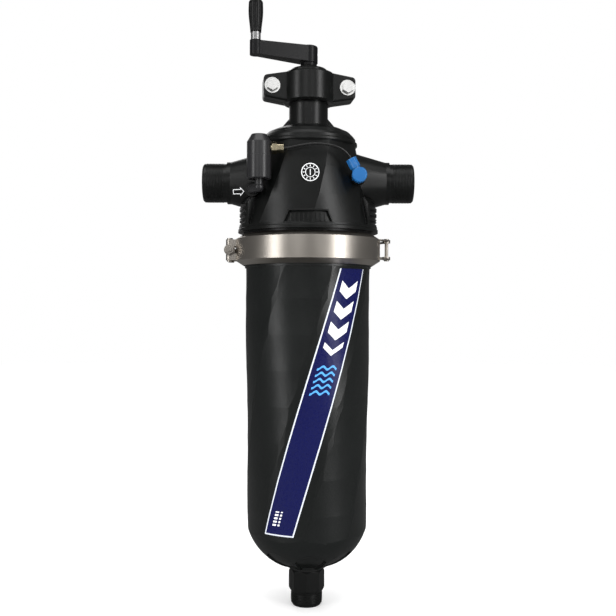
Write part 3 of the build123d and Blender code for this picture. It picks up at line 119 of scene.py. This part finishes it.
# Marks on the head
MARK_SINK = -0.0004
PRINT_LIFT = 0.0005
RING_LIFT = 0.0004
RIB_LIFT = 0.0012
ARROW_TAIL = AXIS_X - 0.1142
ARROW_TIP = AXIS_X - 0.0965
ARROW_LEVEL = -0.0172
ARROW_SHAFT = 0.0036
ARROW_HEAD = 0.0066
ARROW_LINE = 0.0011
BADGE_AT = (AXIS_X + 0.003, 0.004)
BADGE_RINGS = ((0.0132, 0.0120), (0.0074, 0.0065))
BADGE_MONTHS = 12
BADGE_TICK = (0.0084, 0.0111, 0.0011)
BADGE_HAND = (0.0045, 0.0012)
FRONT_RIBS = 9
FRONT_RIB_PITCH = 0.0062
FRONT_RIB_SPAN = (-0.0685, -0.0560)
FRONT_RIB_WIDTH = 0.0024

CAMERA_PLACE = (AXIS_X + 0.0005, -1.330, -0.1933)
CAMERA_ROLL = 0.24
AIM = (AXIS_X, 0, -0.2)

# Area lights: place, size and power
LIGHTS = {
    "key_left": ((-1.5, -1.3, 0.3), (0.5, 2.4), 17),
    "key_right": ((1.7, -1.3, 0.35), (0.5, 2.4), 25),
    "top": ((0.16, -0.7, 1.9), (2.2, 1.2), 18),
    "front_fill": ((-0.6, -2.8, 0.8), (1.0, 1.4), 5),
    "brow": ((0.16, -1.75, 0.62), (0.9, 0.3), 0.9),
    "right_fill": ((1.0, -2.6, 0.75), (0.6, 1.0), 2.6),
    "back": ((-0.5, 2.4, 0.9), (1.2, 1.6), 9),
}


# Surfaces to lay pieces on
def surface_of(node):
    """Search tree over a CAD node's triangles, to cast rays at."""
    mesh = frame["nodes"][node].data
    return BVHTree.FromPolygons([v.co for v in mesh.vertices], [p.vertices for p in mesh.polygons])


bowl_surface = surface_of("bowl")
head_surface = surface_of("head")


def round_the_bowl(angle, height, lift):
    """Point on the bowl at an angle in degrees round the vessel axis, lifted off it."""
    out = Vector((math.cos(math.radians(angle)), math.sin(math.radians(angle)), 0))
    start = Vector((AXIS_X, 0, height)) + 0.3 * out
    place, _, _, _ = bowl_surface.ray_cast(start, -out)
    return place + lift * out


def front_of_head(x, height, lift):
    """Point on the front of the head at an x and a height, lifted towards the front."""
    place, _, _, _ = head_surface.ray_cast(Vector((x, -0.4, height)), Vector((0, 1, 0)))
    return place - Vector((0, lift, 0))


# Meshes
def piece(name, vertices, faces, body, material, smooth=True):
    """New mesh with its faces turned outwards, carried by a body."""
    mesh = bpy.data.meshes.new(name)
    mesh.from_pydata(vertices, [], faces)
    work = bmesh.new()
    work.from_mesh(mesh)
    bmesh.ops.recalc_face_normals(work, faces=work.faces)
    work.to_mesh(mesh)
    work.free()
    mesh.polygons.foreach_set("use_smooth", [smooth] * len(mesh.polygons))
    mesh.materials.append(material)
    made = bpy.data.objects.new(name, mesh)
    bpy.context.scene.collection.objects.link(made)
    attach(made, body)
    return made


def thread(name, start, along, radius, length, pitch, body, slot):
    """Helical ridge laid on a plain end, run out at both ends of its length."""
    along = Vector(along)
    side = along.orthogonal().normalized()
    up = along.cross(side)
    steps = 72
    count = int((length / pitch - 1) * steps)
    sunk, crest = -THREAD_SINK * pitch, THREAD_CREST * pitch
    profile = [(-0.46, sunk), (-0.12, crest), (0.12, crest), (0.46, sunk)]
    vertices, faces = [], []
    for i in range(count + 1):
        fade = min(1.0, THREAD_RUN_OUT * i / count, THREAD_RUN_OUT * (1 - i / count))
        angle = 2 * math.pi * i / steps
        out = math.cos(angle) * side + math.sin(angle) * up
        centre = Vector(start) + along * pitch * (0.5 + i / steps)
        for offset, rise in profile:
            reach = radius + sunk + (rise - sunk) * fade
            vertices.append(centre + along * pitch * offset + out * reach)
    for i in range(count):
        for j in range(4):
            a, b = 4 * i + j, 4 * i + (j + 1) % 4
            faces.append((a, b, b + 4, a + 4))
    faces.append((0, 1, 2, 3))
    faces.append(tuple(4 * count + j for j in range(4)))
    return piece(name, vertices, faces, body, finishes[slot])


def wound_rings(name, rings, body, slot):
    """Closed skin through rings of equal count, the last joined back to the first."""
    vertices, faces = [], []
    sides = len(rings[0])
    for ring in rings:
        vertices.extend(ring)
    for i in range(len(rings)):
        one, two = i * sides, (i + 1) % len(rings) * sides
        for k in range(sides):
            n = (k + 1) % sides
            faces.append((one + k, one + n, two + n, two + k))
    return piece(name, vertices, faces, body, finishes[slot])


def ribbed_collar(name, start, along, radius, rise, length, ribs, body, slot):
    """Ring of lengthwise ribs sunk into a round piece, with both ends sloped."""
    along = Vector(along).normalized()
    side = along.orthogonal().normalized()
    up = along.cross(side)
    sides = 12 * ribs
    profile = [(0.0, -1.0), (0.0, 0.0), (0.12, 1.0), (0.88, 1.0), (1.0, 0.0), (1.0, -1.0)]
    rings = []
    for share, height in profile:
        ring = []
        for k in range(sides):
            angle = 2 * math.pi * k / sides
            wave = 0.5 + 0.5 * math.tanh(3 * math.cos(ribs * angle))
            reach = radius - COLLAR_SINK if height < 0 else radius + rise * height * wave
            out = math.cos(angle) * side + math.sin(angle) * up
            ring.append(Vector(start) + along * length * share + out * reach)
        rings.append(ring)
    return wound_rings(name, rings, body, slot)


def fluted_grip():
    """The grip's own outline with shallow flutes down its flank, and its screw recess."""
    low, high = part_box("grip")
    centre = (low + high) / 2
    skin = surface_of("grip")
    sides, steps = 16 * FLUTES, 90
    flank = []
    for i in range(steps + 1):
        share = math.sin(math.pi / 2 * i / steps)
        height = low.z + (high.z - low.z) * min(max(share, 0.0005), 0.9995)
        start = Vector((centre.x + 0.05, centre.y, height))
        place, _, _, _ = skin.ray_cast(start, Vector((-1, 0, 0)))
        from_foot = (height - low.z) / FLUTE_FADE
        from_top = max(0.0, (high.z - FLUTE_FADE - height) / FLUTE_FADE)
        flank.append((place.x - centre.x, height, min(1.0, from_foot, from_top)))
    recess_floor = high.z - GRIP_RECESS
    hollow = [
        (GRIP_RECESS_R, high.z),
        (GRIP_RECESS_R, recess_floor),
        (GRIP_BORE_R, recess_floor),
        (GRIP_BORE_R, low.z),
    ]
    rings = []
    for radius, height, fade in flank + [(radius, height, 0.0) for radius, height in hollow]:
        ring = []
        for k in range(sides):
            angle = 2 * math.pi * k / sides
            groove = max(0.0, math.cos(FLUTES * angle)) ** FLUTE_ROUNDING
            reach = radius - FLUTE_DEPTH * fade * groove
            x = centre.x + reach * math.cos(angle)
            y = centre.y + reach * math.sin(angle)
            ring.append(Vector((x, y, height)))
        rings.append(ring)
    made = wound_rings("fluted_grip", rings, "grip", "grip_black")
    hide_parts("grip")


def pressed_spring():
    """The indicator's spring in one welded skin, carried by the vessel in place of the CAD coil."""
    coil = frame["nodes"]["indicator_spring"].data
    known, vertices, faces = {}, [], []
    for face in coil.polygons:
        corners = []
        for i in face.vertices:
            place = tuple(round(c, 7) for c in coil.vertices[i].co)
            if place not in known:
                known[place] = len(vertices)
                vertices.append(place)
            corners.append(known[place])
        if len(set(corners)) == len(corners):
            faces.append(corners)
    slot = slot_of["indicator_spring"]
    made = piece("pressed_spring", vertices, faces, "vessel", finishes[slot])
    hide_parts("indicator_spring")
    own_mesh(made)


def raised(name, outlines, lift, material, step=0.0015):
    """Raised strips on the head: each outline is a closed loop with its inner loop, or a bar."""
    vertices, faces = [], []
    for outer, inner in outlines:
        count = len(outer)
        for i in range(count):
            ends = (outer[i], outer[(i + 1) % count], inner[i], inner[(i + 1) % count])
            length = max((Vector(ends[1]) - Vector(ends[0])).length, step)
            cuts = max(1, round(length / step))
            first = len(vertices)
            for k in range(cuts + 1):
                share = k / cuts
                a = Vector(ends[0]).lerp(Vector(ends[1]), share)
                b = Vector(ends[2]).lerp(Vector(ends[3]), share)
                for place, rise in ((a, MARK_SINK), (a, lift), (b, lift), (b, MARK_SINK)):
                    vertices.append(front_of_head(place[0], place[1], rise))
            for k in range(cuts):
                at = first + 4 * k
                for j in range(3):
                    faces.append((at + j, at + j + 1, at + j + 5, at + j + 4))
    return piece(name, vertices, faces, "vessel", material, smooth=False)


def loop_pair(points, width):
    """A closed outline of straight sides and the same outline set in by a width."""
    inner = []
    count = len(points)
    for i in range(count):
        before, here, after = (Vector(points[(i + k) % count]) for k in (-1, 0, 1))
        one = (here - before).normalized()
        two = (after - here).normalized()
        left_one = Vector((-one.y, one.x))
        left_two = Vector((-two.y, two.x))
        middle = (left_one + left_two).normalized()
        inner.append(tuple(here + middle * width / max(middle.dot(left_one), 0.3)))
    return points, inner


def circle(centre, radius, sides=40):
    """Corners of a round outline."""
    return [
        (
            centre[0] + radius * math.cos(2 * math.pi * i / sides),
            centre[1] + radius * math.sin(2 * math.pi * i / sides),
        )
        for i in range(sides)
    ]


def bar(start, end, width):
    """A straight bar as an outline whose inner loop is its own middle line."""
    start, end = Vector(start), Vector(end)
    across = (end - start).normalized()
    across = Vector((-across.y, across.x)) * width / 2
    outer = [start - across, end - across, end + across, start + across]
    inner = [start, end, end, start]
    return [tuple(p) for p in outer], [tuple(p) for p in inner]


# Materials
class Paint:
    """A material built node by node, with its texture laid in the frame of the CAD."""

    def __init__(self, name, base, rough, metal=0.0, specular=0.5):
        self.material = bpy.data.materials.new(name)
        self.material.use_nodes = True
        self.tree = self.material.node_tree
        self.shader = self.tree.nodes["Principled BSDF"]
        self.base, self.rough = base, rough
        self.shader.inputs["Base Color"].default_value = (*base, 1)
        self.shader.inputs["Roughness"].default_value = rough
        self.shader.inputs["Metallic"].default_value = metal
        self.shader.inputs["Specular IOR Level"].default_value = specular
        self.place = self.node("ShaderNodeTexCoord").outputs["Object"]

    def node(self, kind, settings=(), **inputs):
        """New node with its inputs set or linked: i0, i1 go by number, other names by label."""
        made = self.tree.nodes.new(kind)
        for name, value in dict(settings).items():
            setattr(made, name, value)
        for name, value in inputs.items():
            socket = made.inputs[int(name[1:]) if name.startswith("i") else name.replace("_", " ")]
            if isinstance(value, bpy.types.NodeSocket):
                self.tree.links.new(value, socket)
            else:
                socket.default_value = value
        return made

    def link(self, value, socket):
        self.tree.links.new(value, self.shader.inputs[socket])

    def sum(self, operation, a, b=0.0):
        return self.node("ShaderNodeMath", {"operation": operation}, i0=a, i1=b).outputs[0]

    def spread(self, scale):
        return self.node("ShaderNodeMapping", i0=self.place, i3=scale).outputs[0]

    def noise(self, scale, detail=3.0, stretch=(1, 1, 1)):
        return self.node(
            "ShaderNodeTexNoise", Vector=self.spread(stretch), Scale=scale, Detail=detail
        ).outputs["Fac"]

    def ramp(self, value, low, high, bottom, top):
        return self.node(
            "ShaderNodeMapRange",
            Value=value,
            From_Min=low,
            From_Max=high,
            To_Min=bottom,
            To_Max=top,
        ).outputs["Result"]

    def mix(self, share, one, two):
        made = self.node("ShaderNodeMix", {"data_type": "RGBA"}, i0=share)
        for socket, value in ((made.inputs[6], one), (made.inputs[7], two)):
            if isinstance(value, bpy.types.NodeSocket):
                self.tree.links.new(value, socket)
            else:
                socket.default_value = (*value, 1)
        return made.outputs[2]

    def edge_rounding_and_highlight_mask(self, radius):
        """Normal rounded at the edges, and a weight that is one on them, for the painted edge
        highlight.
        """
        soft = self.node("ShaderNodeBevel", {"samples": 4}, Radius=radius).outputs[0]
        sharp = self.node("ShaderNodeNewGeometry").outputs["Normal"]
        facing = self.node("ShaderNodeVectorMath", {"operation": "DOT_PRODUCT"}, i0=soft, i1=sharp)
        return soft, self.ramp(facing.outputs["Value"], 0.80, 0.995, 1.0, 0.0)

    def finish(self, variation, grain, grain_depth, edge=None, stretch=(1, 1, 1), round_edges=0.0006):
        """Colour and roughness drifting over the piece, a fine surface grain and a painted highlight
        on the edges.
        """
        cloud = self.noise(9.0, 4.0)
        fine = self.noise(grain, 4.0, stretch)
        shade = self.ramp(cloud, 0.3, 0.7, 1 - variation, 1 + variation)
        dark = tuple(c * (1 - variation) for c in self.base)
        light = tuple(c * (1 + variation) for c in self.base)
        colour = self.mix(self.ramp(cloud, 0.3, 0.7, 0.0, 1.0), dark, light)
        soft, edge_highlight_mask = self.edge_rounding_and_highlight_mask(round_edges)
        # Paler colour on the edges, broken up by noise, is a painted highlight.
        if edge:
            broken_edge_highlight = self.sum("MULTIPLY", edge_highlight_mask, self.ramp(self.noise(160.0), 0.35, 0.65, 0.2, 1.0))
            colour = self.mix(broken_edge_highlight, colour, edge)
        self.link(colour, "Base Color")
        gloss = self.ramp(fine, 0.3, 0.7, 0.9 * self.rough, 1.1 * self.rough)
        self.link(self.sum("MULTIPLY", shade, gloss), "Roughness")
        bump = self.node(
            "ShaderNodeBump", Strength=1.0, Distance=grain_depth, Height=fine, Normal=soft
        )
        self.link(bump.outputs[0], "Normal")
        return self.material


# The edge colour of a plastic is the painted highlight on its edges.
def plastic(name, base, rough, edge=None, grain=900.0, depth=0.00005, specular=0.5):
    return Paint(name, base, rough, specular=specular).finish(0.12, grain, depth, edge)


def metal(name, base, rough, stretch, grain=60.0, depth=0.00002):
    return Paint(name, base, rough, metal=1.0).finish(0.05, grain, depth, None, stretch, 0.0004)


ROUND = (0.4, 0.4, 30)
SPUN = (12, 12, 12)

# Where a plastic has a fourth colour, it is the painted highlight on its edges.
finishes = {
    "black_plastic": plastic(
        "moulded_black", (0.003, 0.0034, 0.0032), 0.33,
        (0.018, 0.019, 0.018), 420.0, 0.00008, 0.32,
    ),
    "stainless": metal("brushed_stainless", (0.54, 0.50, 0.45), 0.34, ROUND, 60.0, 0.000006),
    "bright_steel": metal("zinc_bright_steel", (0.74, 0.74, 0.73), 0.24, SPUN),
    "rubber": plastic("seal_rubber", (0.012, 0.012, 0.012), 0.7, None, 1500.0, 0.00004, 0.3),
    "acetal": plastic("white_acetal", (0.72, 0.71, 0.67), 0.4, None, 1200.0, 0.00002),
    "collector_plastic": plastic("grey_collector", (0.18, 0.19, 0.2), 0.42, None, 600.0, 0.00005),
    "screen_plastic": plastic(
        "screen_frame_black", (0.02, 0.02, 0.022), 0.45,
        None, 600.0, 0.00006,
    ),
    "mesh": metal("woven_mesh", (0.5, 0.5, 0.48), 0.4, SPUN, 300.0, 0.0001),
    "crank_black": plastic(
        "coated_crank", (0.004, 0.004, 0.0045), 0.38,
        (0.04, 0.04, 0.04), 700.0, 0.00006, 0.2,
    ),
    "ferrule_grey": metal("cast_grey", (0.36, 0.36, 0.36), 0.38, SPUN),
    "grip_black": plastic(
        "satin_grip", (0.004, 0.004, 0.004), 0.28,
        (0.02, 0.02, 0.02), 500.0, 0.00005, 0.2,
    ),
    "indicator_black": plastic(
        "indicator_black", (0.013, 0.013, 0.014), 0.3,
        (0.05, 0.05, 0.05), 800.0, 0.00004,
    ),
    "signal_red": plastic("signal_red", (0.55, 0.02, 0.015), 0.4, None, 900.0, 0.00003),
    "brass": metal("turned_brass", (0.66, 0.58, 0.40), 0.17, SPUN),
    "tube_black": plastic("tube_black", (0.006, 0.006, 0.006), 0.25, None, 900.0, 0.00003),
    "blue_plastic": plastic(
        "blue_fitting", (0.010, 0.100, 0.29), 0.22,
        (0.04, 0.28, 0.58), 700.0, 0.00004, 0.7,
    ),
}

# Its fourth colour is the painted highlight on its edges.
bowl_black = plastic(
    "moulded_bowl",
    (0.005, 0.0061, 0.0058),
    0.33,
    (0.024, 0.025, 0.024),
    420.0,
    0.00008,
    0.42,
)

slot_of = {row["node"]: row["material_slot"] for row in frame["record"]["subparts"]}
for node, thing in frame["nodes"].items():
    thing.data.materials.clear()
    finish = bowl_black if node == "bowl" else finishes[slot_of[node]]
    thing.data.materials.append(finish)

# Threads
outlet_start = (OUTLET_X, 0, 0)
drain_start = (AXIS_X, 0, DRAIN_END + DRAIN_CHAMFER)
for name, start, along, radius, length, pitch, slot in (
    ("inlet_thread", (0, 0, 0), (1, 0, 0), PORT_R, PORT_THREAD, PIPE_PITCH, "black_plastic"),
    ("outlet_thread", outlet_start, (-1, 0, 0), PORT_R, PORT_THREAD, PIPE_PITCH, "black_plastic"),
    ("drain_thread", drain_start, (0, 0, 1), DRAIN_R, DRAIN_THREAD, PIPE_PITCH, "black_plastic"),
    (
        "clamp_thread",
        CLAMP_BOLT_AT,
        (0, 1, 0),
        CLAMP_BOLT_R,
        CLAMP_BOLT_THREAD,
        BOLT_PITCH,
        "stainless",
    ),
):
    thread(name, start, along, radius, length, pitch, "vessel", slot)

# Ribs and flutes for the fingers
blue_arm = Vector((math.cos(BLUE_ARM_ANGLE), 0, math.sin(BLUE_ARM_ANGLE)))
blue_start = Vector(BLUE_FITTING) + BLUE_NUT_OUT * blue_arm
ribbed_collar(
    "blue_nut_ribs",
    blue_start,
    blue_arm,
    BLUE_NUT_R,
    COLLAR_RISE,
    COLLAR_LENGTH,
    COLLAR_RIBS,
    "vessel",
    "blue_plastic",
)
fluted_grip()
pressed_spring()


# Printed stripe that winds down the bowl
def stripe_paint():
    """Navy film with a pale border, chevrons, waves and small ticks."""
    paint = Paint("printed_film", (0.012, 0.02, 0.12), 0.28, specular=0.2)
    place = paint.node("ShaderNodeUVMap", {"uv_map": "film"}).outputs[0]
    parts = paint.node("ShaderNodeSeparateXYZ", Vector=place)
    width, length = LABEL_MM
    across = paint.sum("MULTIPLY", parts.outputs[0], width)
    down = paint.sum("MULTIPLY", parts.outputs[1], length)
    middle = paint.sum("ABSOLUTE", paint.sum("SUBTRACT", across, width / 2))

    def between(value, low, high):
        above = paint.sum("GREATER_THAN", value, low)
        return paint.sum("MULTIPLY", above, paint.sum("LESS_THAN", value, high))

    def both(one, two):
        return paint.sum("MULTIPLY", one, two)

    def either(one, two):
        return paint.sum("MAXIMUM", one, two)

    def repeated(value, pitch, share):
        return paint.sum("LESS_THAN", paint.sum("FRACT", paint.sum("DIVIDE", value, pitch)), share)

    def block(value, span, half_width):
        return both(between(value, *span), between(middle, -1.0, half_width))

    edge = either(
        paint.sum("GREATER_THAN", middle, width / 2 - BORDER_MM[0]),
        paint.sum("GREATER_THAN", down, length - BORDER_MM[1]),
    )
    slanted = paint.sum("ADD", down, paint.sum("MULTIPLY", middle, CHEVRON_SLANT))
    chevrons = both(
        repeated(slanted, CHEVRON_PITCH, CHEVRON_SHARE),
        block(slanted, CHEVRONS_MM, CHEVRON_HALF),
    )
    phase = paint.sum("SINE", paint.sum("MULTIPLY", across, WAVE_RATE))
    swing = paint.sum("MULTIPLY", phase, WAVE_SWING)
    waves = both(
        repeated(paint.sum("ADD", down, swing), WAVE_PITCH, WAVE_SHARE),
        block(down, WAVES_MM, WAVE_HALF),
    )
    columns = either(*(between(across, low, high) for low, high in TICK_COLUMNS_MM))
    ticks = both(
        repeated(down, TICK_PITCH, TICK_SHARE),
        both(between(down, *TICKS_MM), columns),
    )
    cloud = paint.noise(6.0, 1.0)
    shade = paint.ramp(cloud, 0.3, 0.7, 0.0, 1.0)
    navy = paint.mix(shade, (0.004, 0.005, 0.052), (0.005, 0.007, 0.062))
    colour = paint.mix(edge, navy, (0.62, 0.65, 0.70))
    colour = paint.mix(waves, colour, (0.08, 0.33, 0.72))
    colour = paint.mix(either(chevrons, ticks), colour, (0.80, 0.81, 0.82))
    paint.link(colour, "Base Color")
    peel = paint.noise(220.0)
    paint.link(paint.ramp(peel, 0.3, 0.7, 0.24, 0.34), "Roughness")
    paint.link(paint.node("ShaderNodeBump", Distance=0.00003, Height=peel).outputs[0], "Normal")
    return paint.material


def stripe():
    """Thin film laid on the bowl, its rim sunk into the surface."""
    columns, rows = 48, 260
    vertices, faces, places = [], [], []
    for j in range(rows + 1):
        height = LABEL_TOP + (LABEL_FOOT - LABEL_TOP) * j / rows
        middle = LABEL_ANGLE + LABEL_SLOPE * (height - LABEL_LEVEL)
        for i in range(columns + 1):
            rim = i in (0, columns) or j in (0, rows)
            lift = LABEL_SINK if rim else LABEL_LIFT
            angle = middle + LABEL_WIDTH * (i / columns - 0.5)
            vertices.append(round_the_bowl(angle, height, lift))
            places.append((i / columns, j / rows))
    for j in range(rows):
        for i in range(columns):
            at = j * (columns + 1) + i
            faces.append((at, at + 1, at + columns + 2, at + columns + 1))
    made = piece("printed_stripe", vertices, faces, "vessel", stripe_paint())
    film = made.data.uv_layers.new(name="film")
    for corner in made.data.loops:
        film.data[corner.index].uv = places[corner.vertex_index]
    return made


stripe()

# Marks on the head
def arrow_outline(tail, tip, middle, shaft, head):
    """Block arrow along X as corners: half heights of the shaft and of the head."""
    neck = tip - head
    return [
        (tail, middle - shaft),
        (neck, middle - shaft),
        (neck, middle - head),
        (tip, middle),
        (neck, middle + head),
        (neck, middle + shaft),
        (tail, middle + shaft),
    ]


def date_ring():
    """Two rings with a tick for each month between them and a hand in the middle."""
    centre = Vector(BADGE_AT)
    marks = [(circle(centre, outer), circle(centre, inner)) for outer, inner in BADGE_RINGS]
    start, end, width = BADGE_TICK
    for i in range(BADGE_MONTHS):
        angle = math.radians(360 / BADGE_MONTHS * i)
        turn = Vector((math.cos(angle), math.sin(angle)))
        marks.append(bar(centre + start * turn, centre + end * turn, width))
    reach, width = BADGE_HAND
    marks.append(bar(centre - Vector((0, reach)), centre + Vector((0, reach)), width))
    return marks


white_print = plastic("white_print", (0.72, 0.73, 0.74), 0.4, None, 600.0, 0.00003)
flow = arrow_outline(ARROW_TAIL, ARROW_TIP, ARROW_LEVEL, ARROW_SHAFT, ARROW_HEAD)
raised("flow_arrow", [loop_pair(flow, ARROW_LINE)], PRINT_LIFT, white_print)
raised("date_ring", date_ring(), RING_LIFT, white_print, step=0.001)

ribs = []
for i in range(FRONT_RIBS):
    x = AXIS_X + FRONT_RIB_PITCH * (i - FRONT_RIBS // 2)
    ribs.append(bar((x, FRONT_RIB_SPAN[0]), (x, FRONT_RIB_SPAN[1]), FRONT_RIB_WIDTH))
raised("front_ribs", ribs, RIB_LIFT, finishes["black_plastic"])


# Camera, light and floor
def studio_surface():
    """Pale floor that glows a little to the eye and stays dim in reflections."""
    paint = Paint("studio_white", (0.86, 0.86, 0.86), 0.9, specular=0.1)
    cloud = paint.noise(0.8)
    pale = paint.mix(cloud, (0.855, 0.855, 0.855), (0.865, 0.865, 0.865))
    glossy = paint.node("ShaderNodeLightPath").outputs["Is Glossy Ray"]
    paint.link(paint.mix(glossy, pale, (0.12, 0.12, 0.12)), "Base Color")
    paint.shader.inputs["Emission Color"].default_value = (1, 1, 1, 1)
    paint.link(paint.ramp(glossy, 0.0, 1.0, 0.18, 0.0), "Emission Strength")
    return paint.material


def floor():
    """Round pale floor under the drain."""
    reach, rings, sides = 6.0, 6, 96
    vertices, faces = [(AXIS_X, 0, DRAIN_END)], []
    for ring in range(1, rings + 1):
        for k in range(sides):
            turn = 2 * math.pi * k / sides
            spread = reach * (ring / rings) ** 2
            vertices.append((AXIS_X + spread * math.cos(turn), spread * math.sin(turn), DRAIN_END))
    for k in range(sides):
        faces.append((0, 1 + k, 1 + (k + 1) % sides))
    for ring in range(rings - 1):
        for k in range(sides):
            a, b = 1 + ring * sides + k, 1 + ring * sides + (k + 1) % sides
            faces.append((a, b, b + sides, a + sides))
    mesh = bpy.data.meshes.new("studio_floor")
    mesh.from_pydata(vertices, [], faces)
    mesh.materials.append(studio_surface())
    made = bpy.data.objects.new("studio_floor", mesh)
    bpy.context.scene.collection.objects.link(made)


def soft_light(name, place, size, power):
    """Area light turned to the middle of the part."""
    lamp = bpy.data.lights.new(name, "AREA")
    lamp.shape = "RECTANGLE"
    lamp.size, lamp.size_y = size
    lamp.energy = power
    made = bpy.data.objects.new(name, lamp)
    made.location = place
    aim = Vector(AIM) - Vector(place)
    made.rotation_euler = aim.to_track_quat("-Z", "Y").to_euler()
    made.visible_camera = False
    bpy.context.scene.collection.objects.link(made)


def surroundings():
    """White all round to the eye and to matt surfaces, and a dim studio in reflections."""
    world = bpy.data.worlds.new("studio_air")
    bpy.context.scene.world = world
    world.use_nodes = True
    tree = world.node_tree
    ray = tree.nodes.new("ShaderNodeLightPath").outputs["Is Glossy Ray"]
    strength = tree.nodes.new("ShaderNodeMapRange")
    strength.inputs["To Min"].default_value = 1.0
    strength.inputs["To Max"].default_value = 0.10
    tree.links.new(ray, strength.inputs["Value"])
    sky = tree.nodes["Background"]
    sky.inputs["Color"].default_value = (1, 1, 1, 1)
    tree.links.new(strength.outputs["Result"], sky.inputs["Strength"])


floor()
surroundings()
for name, (place, size, power) in LIGHTS.items():
    soft_light(name, place, size, power)

bpy.context.scene.view_settings.view_transform = "Standard"

lens = bpy.data.cameras.new("view")
lens.lens = 50
lens.sensor_width = 36
camera = bpy.data.objects.new("view", lens)
camera.location = CAMERA_PLACE
camera.rotation_euler = Euler((math.radians(90), math.radians(-CAMERA_ROLL), 0), "XYZ")
bpy.context.scene.collection.objects.link(camera)
bpy.context.scene.camera = camera
